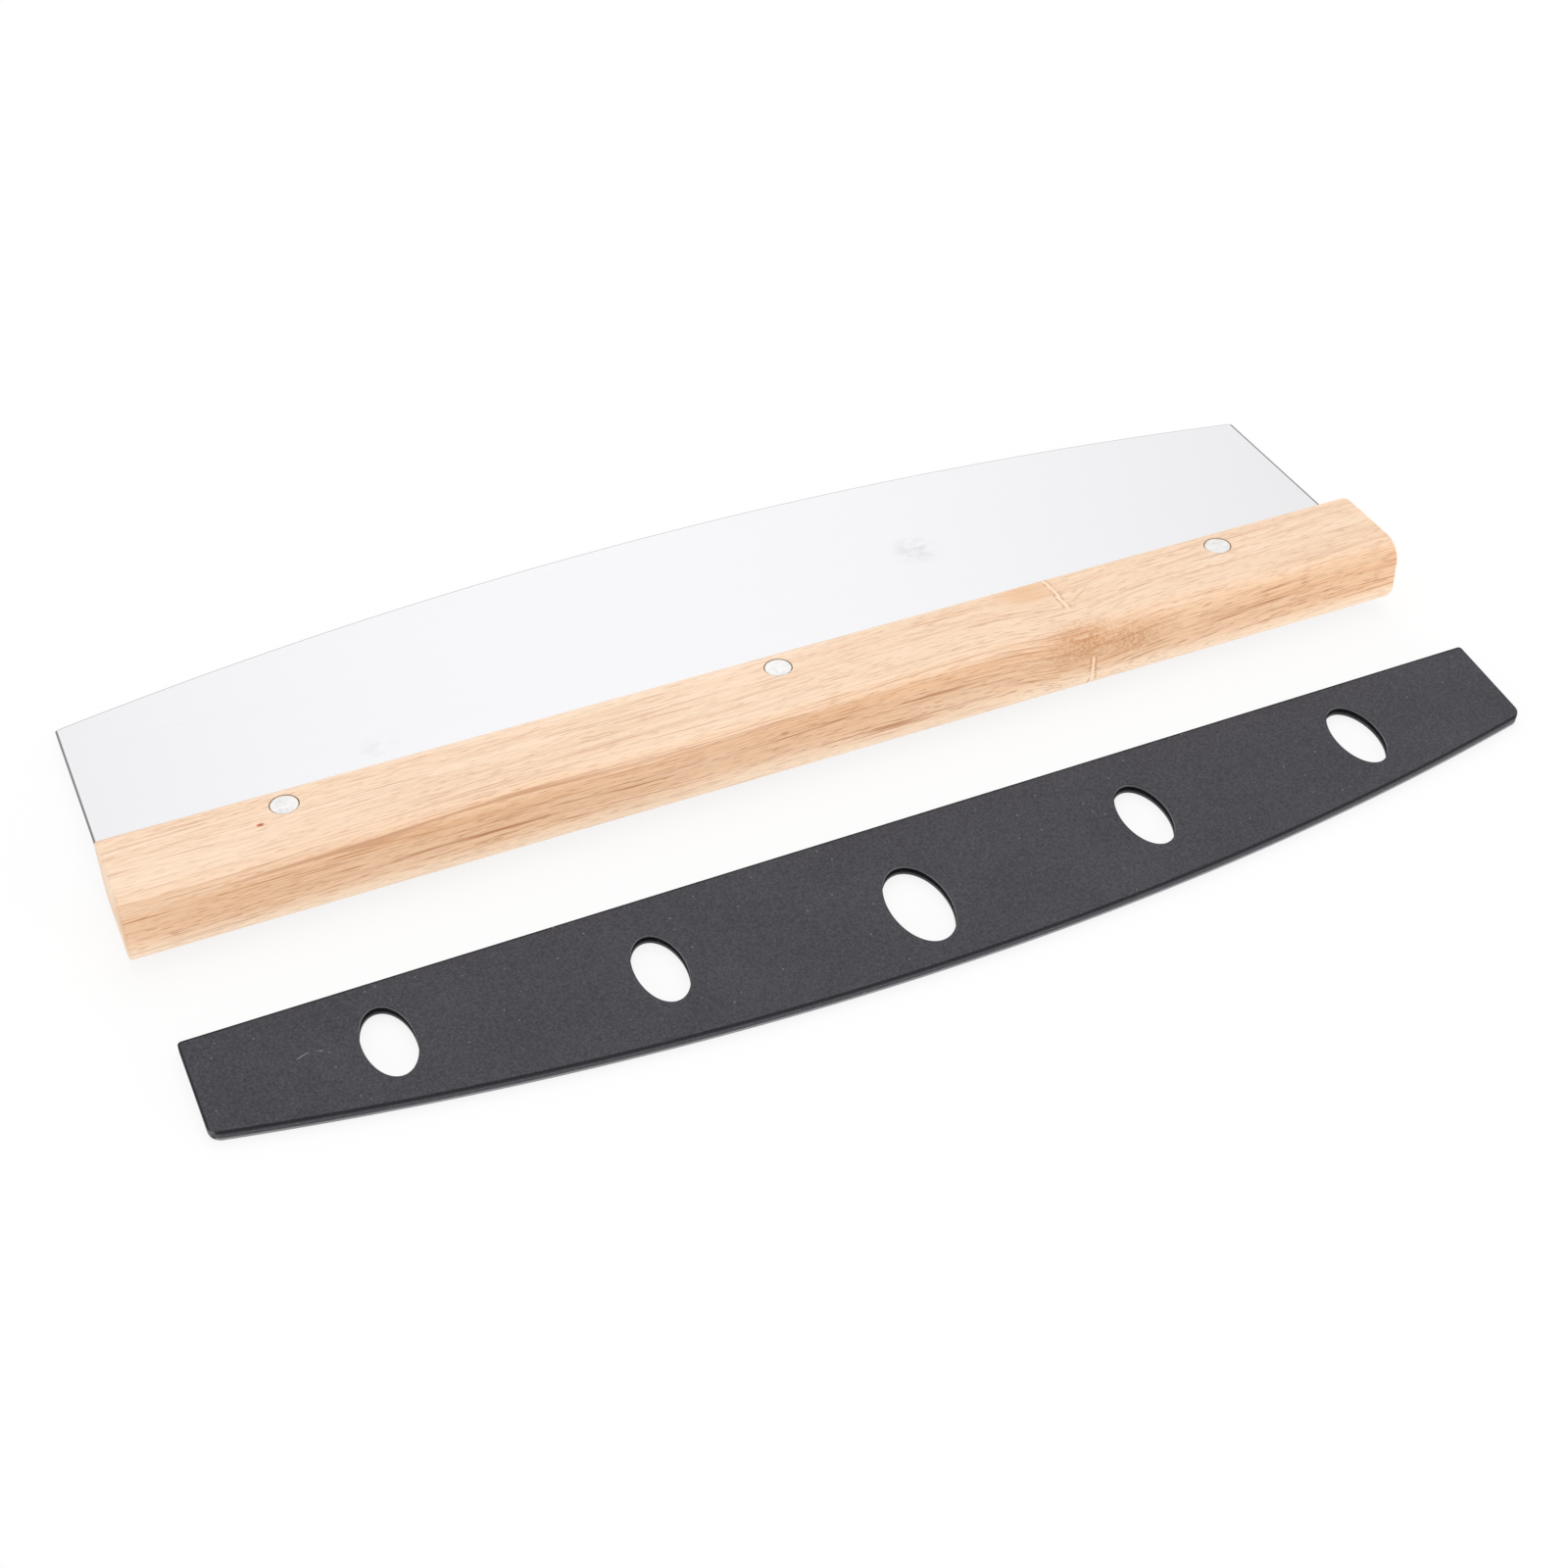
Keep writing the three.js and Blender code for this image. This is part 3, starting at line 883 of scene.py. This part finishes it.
def wood_lines(wood, grip, grain, base):
    """Short pores, broken hairlines, long growth lines and light flecks, all along the fibres. Gives the
    new colour, and the pores."""
    fleck = wood.noise(grain.fibre, (3.8, 0.34, 0.34), detail=1.0)
    pores = wood.ramp(fleck, 0.59, 0.66)
    hair = wood.near(wood.noise(grain.fibre, (90.0, 1.1, 1.1), detail=1.0), 0.5, 0.045)
    broken = wood.ramp(wood.noise(grain.fibre, (22.0, 2.5, 2.5), detail=1.0), 0.4, 0.62)
    growth = wood.near(wood.noise(grain.fibre, (240.0, 3.0, 3.0), detail=1.0), 0.5, 0.02)
    shade = wood.most(
        wood.times(pores, wood.weigh(0.3, (grain.front, 0.26), (grain.clouds, 0.2))),
        wood.times(hair, broken, wood.weigh(0.45, (grain.front, 0.4))),
        wood.times(growth, wood.weigh(0.15, (grain.turned, 0.4))),
    )
    # Painted floor light: the pores and lines fade along the front's lower edge
    shade = wood.times(shade, grain.sides, wood.weigh(1.0, (grain.low, -0.6)))
    base = wood.mix(wood.ramp(fleck, 0.4, 0.3, high=0.3), base, grip.fleck_and_painted_light)
    return wood.mix(shade, base, grip.line), pores


def knot_stain(wood, grip, grain, base):
    """Mottled brown wood in two clouds on the long edge by the knot, and warmer wood on the top face."""
    mottle = wood.ramp(wood.noise(wood.place, (0.9, 0.9, 0.9), roughness=0.6), 0.42, 0.6)
    upper = wood.blot((grain.knot - 1.0, 1.5 - grain.palm, grain.face - 4.0), (17.0, 9.0, 9.0))
    lower = wood.blot((grain.knot + 13.0, -grain.palm, grain.face - 6.0), (17.0, 9.0, 7.0))
    stain = wood.times(wood.most(upper, wood.times(lower, 0.9)), wood.weigh(0.25, (mottle, 0.5)))
    warm = wood.times(wood.blot((grain.knot - 7.0, -6.0, grain.face), (14.0, 9.0, 6.0)), 0.8)
    return wood.mix(warm, wood.mix(stain, base, grip.knot), grip.warm)


def pin_knot(wood, grip, grain, base):
    """The knot's light pin with its worn brown rim, on the top face by the blade and on the lower front,
    and a faint line that forks off."""
    half_width = 0.7
    rim_place = 0.8
    rim_width = 0.6
    front_shift = 1.4
    fork_place = grain.knot + 23.3
    fork_slope = 1.3
    wobble = wood.times(wood.wave(wood.place, (6.0, 2.5, 2.5)), 1.6)
    off_pin = wood.weigh(wood.plus(grain.x, wobble, -grain.knot), (grain.front, -front_shift))
    top = wood.rest(grain.front)
    length = wood.plus(
        wood.times(top, wood.ramp(grain.y, -19.5, -16.0)),
        wood.times(grain.front, wood.ramp(grain.z, 2.5, 0.5)),
    )
    worn = wood.ramp(wood.noise(wood.place, (1.6, 1.6, 1.6), detail=1.0), 0.35, 0.6)
    brown = wood.times(wood.near(wood.unsigned(off_pin), rim_place, rim_width), length, worn, 0.6)
    light = wood.times(wood.near(off_pin, 0.0, half_width), length, 0.85)
    base = wood.mix(light, wood.mix(brown, base, grip.knot), grip.fleck_and_painted_light)
    slanted = wood.weigh(wood.plus(grain.x, wobble), (grain.y, -fork_slope))
    fork = wood.times(wood.near(slanted, fork_place, 1.0), wood.near(grain.y, -13.0, 4.0), top, 0.2)
    return wood.mix(fork, base, grip.line)


def oiled_wood(grip, place):
    """Pale hardwood: cloudy bands, short pores and long thin lines along the grip, warmer and denser on the
    palm side, with a pin knot across the grip that the grain dips round, and one reddish speck."""
    wood = Finish("oiled_wood", place)
    grain = wood_grain(wood, grip)
    base = wood_tone(wood, grip, grain)
    base, pores = wood_lines(wood, grip, grain, base)
    base = knot_stain(wood, grip, grain, base)
    base = pin_knot(wood, grip, grain, base)
    speck_place = (-137.2, -14.5, grain.face)
    speck_sizes = (1.4, 0.8, 0.8)
    speck = wood.blot(speck_place, speck_sizes, hard=0.3)
    wood.set(
        Base_Color=wood.mix(speck, base, grip.speck),
        Roughness=wood.weigh(0.5, (pores, 0.2)),
        Specular_IOR_Level=0.3,
        Normal=wood.bump(wood.times(pores, -1.0), 0.01 * MM),
    )
    return wood.material


def satin_steel(blade, place):
    """Satin stainless sheet: faint lengthwise brushing, two wiping smudges, a few tiny specks, and a thin
    line of painted shade along its sheared ends and its cutting edge."""
    steel = Finish("satin_steel", place)
    x, y, _ = steel.split(steel.place)
    face = blade.thickness / 2 / MM
    end = blade.length / 2 / MM
    centre, radius = (length / MM for length in belly_circle(blade))
    brushed = steel.wave(steel.place, (60.0, 0.3, 0.3))
    patchy = steel.ramp(steel.noise(steel.place, (4.0, 3.0, 3.0), detail=3.0, roughness=0.6), 0.35, 0.65)
    large_smudge = steel.blot((61.0, 36.0, face), (9.0, 9.0, 9.0))
    small_smudge = steel.blot((-101.0, 14.0, face), (9.0, 6.0, 6.0))
    smudge = steel.times(steel.weigh(large_smudge, (small_smudge, 0.45)), patchy, 0.22)
    dull = steel.weigh(smudge, (brushed, 0.06), (steel.specks(55.0, 0.7), 0.6))
    to_centre = steel.vector("DISTANCE", steel.combine(x, y, 0.0), (0.0, centre, 0.0))
    # Painted shade: a thin darker line along the sheared ends and over the ground bevel of the cutting edge
    sheared = steel.ramp(steel.unsigned(x), end - 0.7, end - 0.35)
    ground = steel.ramp(to_centre, radius - 0.8, radius - 0.4)
    painted_edge_shade = steel.times(steel.most(sheared, steel.times(ground, 0.5)), 0.8)
    steel.set(
        Base_Color=steel.mix(painted_edge_shade, steel.mix(dull, blade.steel, blade.dull), blade.edge),
        Metallic=1.0,
        Roughness=steel.weigh(0.24, (brushed, 0.06), (smudge, 0.2)),
        Normal=steel.bump(brushed, 0.001 * MM),
    )
    return steel.material


def ground_aluminium(rivet, place):
    """Ground aluminium: crossing fine scratches and dull patches on bright metal."""
    metal = Finish("ground_aluminium", place)
    along = metal.ramp(metal.noise(metal.place, (5.0, 0.3, 4.0)), 0.5, 0.75)
    moved = metal.vector("ADD", metal.place, (7.0, 3.0, 0.0))
    across = metal.ramp(metal.noise(moved, (0.5, 3.0, 4.0)), 0.55, 0.72)
    patches = metal.ramp(metal.noise(metal.place, (1.8, 1.8, 1.8)), 0.45, 0.7)
    dull = metal.weigh(0.0, (along, 0.2), (across, 0.18), (patches, 0.12))
    metal.set(
        Base_Color=metal.mix(dull, rivet.aluminium, rivet.dull),
        Metallic=1.0,
        Roughness=metal.weigh(0.3, (dull, 0.2)),
        Normal=metal.bump(dull, 0.01 * MM),
    )
    return metal.material


def painted_light_and_shade(plastic, blade, sheath):
    """Shares of the sheath where light and shade are painted: painted shade on the outer sides' upper rim,
    painted floor light on the outer sides below the parting line, a painted highlight on the upper part of
    the holes' walls, and painted shade at the mouth."""
    x, y, z = plastic.split(plastic.place)
    top = sheath_thickness(blade, sheath) / MM
    parting = sheath.parting_height / MM
    outer = sheath.edge_clearance + sheath.rim
    end = (blade.length / 2 + outer) / MM
    centre, radius = belly_circle(blade)
    edge = (radius + outer) / MM
    belly_middle = (0.0, (centre - sheath_mouth(blade, sheath)) / MM, 0.0)
    to_belly = plastic.vector("DISTANCE", plastic.combine(x, y, 0.0), belly_middle)
    sides = plastic.most(
        plastic.ramp(to_belly, edge - 0.6, edge - 0.3),
        plastic.ramp(plastic.unsigned(x), end - 0.6, end - 0.3),
    )
    return SimpleNamespace(
        upper=plastic.times(sides, plastic.ramp(z, top - 1.0, top - 0.6)),
        lower=plastic.times(sides, plastic.ramp(z, parting + 0.1, parting - 0.2)),
        hole=plastic.times(plastic.near(z, top - 0.5, 0.45), plastic.rest(sides)),
        mouth=plastic.ramp(y, 0.9, 0.4),
    )


def curved_scratch(plastic, blade, sheath):
    """A short worn arc on the sheath's top, near its left end."""
    middle = (149.5, 20.5, sheath_thickness(blade, sheath) / MM)
    radius = 5.8
    half_width = 0.3
    x, y, _ = plastic.split(plastic.place)
    worn = plastic.ramp(plastic.noise(plastic.place, (1.8, 1.8, 1.8)), 0.42, 0.6)
    circle_line = plastic.near(plastic.vector("DISTANCE", plastic.place, middle), radius, half_width)
    return plastic.times(circle_line, plastic.ramp(y, 19.0, 17.0), plastic.ramp(x, 154.0, 152.5), worn)


def textured_plastic(blade, sheath, place):
    """Charcoal moulding: fine spark texture, slight mottling, sparse light specks and one curved scratch.
    Painted shade darkens the sides along the upper rim and at the mouth, painted floor light lightens the
    sides below the parting line, and a painted highlight lightens the upper part of the holes' walls."""
    plastic = Finish("textured_plastic", place)
    walls = painted_light_and_shade(plastic, blade, sheath)
    grain = plastic.wave(plastic.place, (0.6, 0.6, 0.6), roughness=0.6)
    mottle = plastic.wave(plastic.place, (22.0, 22.0, 22.0))
    tone = plastic.weigh(0.06, (grain, 0.38), (mottle, 0.07))
    base = plastic.mix(tone, sheath.plastic, sheath.speck)
    # Painted shade on the sides' upper rim and at the mouth
    painted_shade = plastic.weigh(0.0, (walls.upper, 0.7), (walls.mouth, 0.8))
    base = plastic.mix(painted_shade, base, sheath.shade)
    specks = plastic.times(plastic.specks(4.0, 0.3), 0.45)
    scratch = plastic.times(curved_scratch(plastic, blade, sheath), 0.55)
    # Painted light: floor light on the sides below the parting line and a highlight on the holes' walls,
    # added to the real specks and the scratch
    light = plastic.weigh(plastic.most(specks, scratch), (walls.lower, 0.8), (walls.hole, 0.3))
    plastic.set(
        Base_Color=plastic.mix(light, base, sheath.speck),
        Roughness=plastic.weigh(0.45, (grain, 0.15), (walls.mouth, 0.5), (walls.upper, 0.4)),
        Specular_IOR_Level=0.4,
        Normal=plastic.bump(grain, 0.02 * MM),
    )
    return plastic.material


# Stage


def make_floor(stage):
    """A flat pale floor that the camera sees as white, with a soft share of the object's shadow near it."""
    half = stage.floor_size / 2
    signs = np.array(((-1, -1), (1, -1), (1, 1), (-1, 1)))
    points = np.column_stack([signs * half, np.full(len(signs), -FLOOR_GAP)])
    mesh = bpy.data.meshes.new("floor")
    mesh.from_pydata(points.tolist(), [], [(0, 1, 2, 3)])
    floor = bpy.data.objects.new("floor", mesh)
    bpy.context.scene.collection.objects.link(floor)
    material = bpy.data.materials.new("pale_floor")
    material.use_nodes = True
    paint = Nodes(material.node_tree)
    pale = paint.fed("ShaderNodeBsdfDiffuse", stage.floor)
    white = paint.node("ShaderNodeEmission")
    away = paint.vector("LENGTH", paint.node("ShaderNodeTexCoord").outputs["Object"])
    glow = paint.times(paint.shown_rays(), paint.ramp(away, *SHADOW_FADE, low=1 - stage.shadow))
    blend = paint.fed("ShaderNodeMixShader", glow, pale.outputs[0], white.outputs[0])
    paint.fed("ShaderNodeOutputMaterial", blend.outputs[0])
    mesh.materials.append(material)


def make_sky(stage):
    """Soft studio light: an even sky, a brighter wall behind the object that falls off to both sides with
    the square of the distance, and a dimmer part behind the camera. Where it shows, also in gloss and
    glass, it is white all round the horizon."""
    world = bpy.data.worlds.new("studio")
    bpy.context.scene.world = world
    world.use_nodes = True
    sky = Nodes(world.node_tree)
    direction = sky.node("ShaderNodeTexCoord").outputs["Generated"]
    x, y, z = sky.split(direction)
    sideways = sky.plus(x, -stage.wall_middle)
    fall = sky.math("MINIMUM", sky.times(sideways, sideways, stage.wall_fall), stage.wall)
    wall = sky.times(sky.ramp(y, *WALL_RISE), sky.math("SUBTRACT", stage.wall, fall))
    viewer = sky.vector("DOT_PRODUCT", direction, -looking(stage))
    dimmed = sky.ramp(viewer, *DIM_RISE, low=1.0, high=stage.dim_side)
    light = sky.times(sky.plus(wall, stage.sky), dimmed)
    horizon = sky.times(sky.shown_rays(), sky.ramp(z, *HORIZON_RISE))
    seen = sky.mix(horizon, light, 1.0, "FLOAT")
    background = sky.fed("ShaderNodeBackground", (1.0, 1.0, 1.0), seen)
    sky.fed("ShaderNodeOutputWorld", background.outputs[0])


def make_lamp(name, location, width, power):
    """A soft square lamp that faces the object and shows in no gloss."""
    light = bpy.data.lights.new(name, "AREA")
    light.shape = "SQUARE"
    light.size = width
    light.energy = power
    lamp = bpy.data.objects.new(name, light)
    bpy.context.scene.collection.objects.link(lamp)
    lamp.location = location
    lamp.rotation_euler = (-Vector(location)).to_track_quat("-Z", "Y").to_euler()
    lamp.visible_glossy = False


def looking(stage):
    """Direction in which the camera looks."""
    forward = Vector((0, math.cos(stage.downward), -math.sin(stage.downward)))
    return Matrix.Rotation(-stage.heading, 3, "Z") @ forward


def make_camera(stage):
    """A camera that looks at its aim from a heading and height, rolled about its own axis."""
    forward = looking(stage)
    level = forward.cross(Vector((0, 0, 1))).normalized()
    upright = level.cross(forward)
    right = level * math.cos(stage.roll) + upright * math.sin(stage.roll)
    upward = right.cross(forward)
    place = Matrix((right, upward, -forward)).transposed().to_4x4()
    place.translation = Vector(stage.aim) - stage.distance * forward
    data = bpy.data.cameras.new("camera")
    data.lens = stage.lens
    data.sensor_width = SENSOR_WIDTH
    camera = bpy.data.objects.new("camera", data)
    bpy.context.scene.collection.objects.link(camera)
    camera.matrix_world = place
    bpy.context.scene.camera = camera


def make_stage(settings):
    """Floor, studio light and camera."""
    stage = settings.stage
    make_floor(stage)
    make_sky(stage)
    for name, (location, width) in LAMPS.items():
        make_lamp(name, location, width, getattr(stage, name))
    make_camera(stage)
    bpy.context.scene.view_settings.view_transform = "Standard"


# Operators and panel


class PIZZA_CUTTER_OT_grip(bpy.types.Operator):
    """Make the wooden grip"""

    bl_idname = "pizza_cutter.grip"
    bl_label = "Grip"

    def execute(self, context):
        make_grip(context.scene.pizza_cutter)
        return {"FINISHED"}


class PIZZA_CUTTER_OT_blade(bpy.types.Operator):
    """Make the steel blade"""

    bl_idname = "pizza_cutter.blade"
    bl_label = "Blade"

    def execute(self, context):
        make_blade(context.scene.pizza_cutter)
        return {"FINISHED"}


class PIZZA_CUTTER_OT_rivets(bpy.types.Operator):
    """Make the three rivets"""

    bl_idname = "pizza_cutter.rivets"
    bl_label = "Rivets"

    def execute(self, context):
        make_rivets(context.scene.pizza_cutter)
        return {"FINISHED"}


class PIZZA_CUTTER_OT_sheath(bpy.types.Operator):
    """Make the plastic blade sheath"""

    bl_idname = "pizza_cutter.sheath"
    bl_label = "Sheath"

    def execute(self, context):
        make_sheath(context.scene.pizza_cutter)
        return {"FINISHED"}


class PIZZA_CUTTER_OT_stage(bpy.types.Operator):
    """Make the floor, the light and the camera"""

    bl_idname = "pizza_cutter.stage"
    bl_label = "Stage"

    def execute(self, context):
        make_stage(context.scene.pizza_cutter)
        return {"FINISHED"}


class PIZZA_CUTTER_PT_panel(bpy.types.Panel):
    """Settings and steps of the pizza cutter"""

    bl_idname = "PIZZA_CUTTER_PT_panel"
    bl_label = "Pizza Cutter"
    bl_space_type = "VIEW_3D"
    bl_region_type = "UI"
    bl_category = "Pizza Cutter"

    def draw(self, context):
        settings = context.scene.pizza_cutter
        for group, operator in (
            (settings.grip, PIZZA_CUTTER_OT_grip),
            (settings.blade, PIZZA_CUTTER_OT_blade),
            (settings.rivet, PIZZA_CUTTER_OT_rivets),
            (settings.sheath, PIZZA_CUTTER_OT_sheath),
            (settings.stage, PIZZA_CUTTER_OT_stage),
        ):
            box = self.layout.box()
            box.operator(operator.bl_idname)
            for name in group.__annotations__:
                box.prop(group, name)


CLASSES = (
    GripSettings,
    BladeSettings,
    RivetSettings,
    SheathSettings,
    StageSettings,
    CutterSettings,
    PIZZA_CUTTER_OT_grip,
    PIZZA_CUTTER_OT_blade,
    PIZZA_CUTTER_OT_rivets,
    PIZZA_CUTTER_OT_sheath,
    PIZZA_CUTTER_OT_stage,
    PIZZA_CUTTER_PT_panel,
)


def register():
    for cls in CLASSES:
        bpy.utils.register_class(cls)
    bpy.types.Scene.pizza_cutter = PointerProperty(type=CutterSettings)


def unregister():
    del bpy.types.Scene.pizza_cutter
    for cls in reversed(CLASSES):
        bpy.utils.unregister_class(cls)


def main():
    """Builds everything in order."""
    register()
    bpy.ops.pizza_cutter.grip()
    bpy.ops.pizza_cutter.blade()
    bpy.ops.pizza_cutter.rivets()
    bpy.ops.pizza_cutter.sheath()
    bpy.ops.pizza_cutter.stage()


if __name__ == "__main__":
    main()
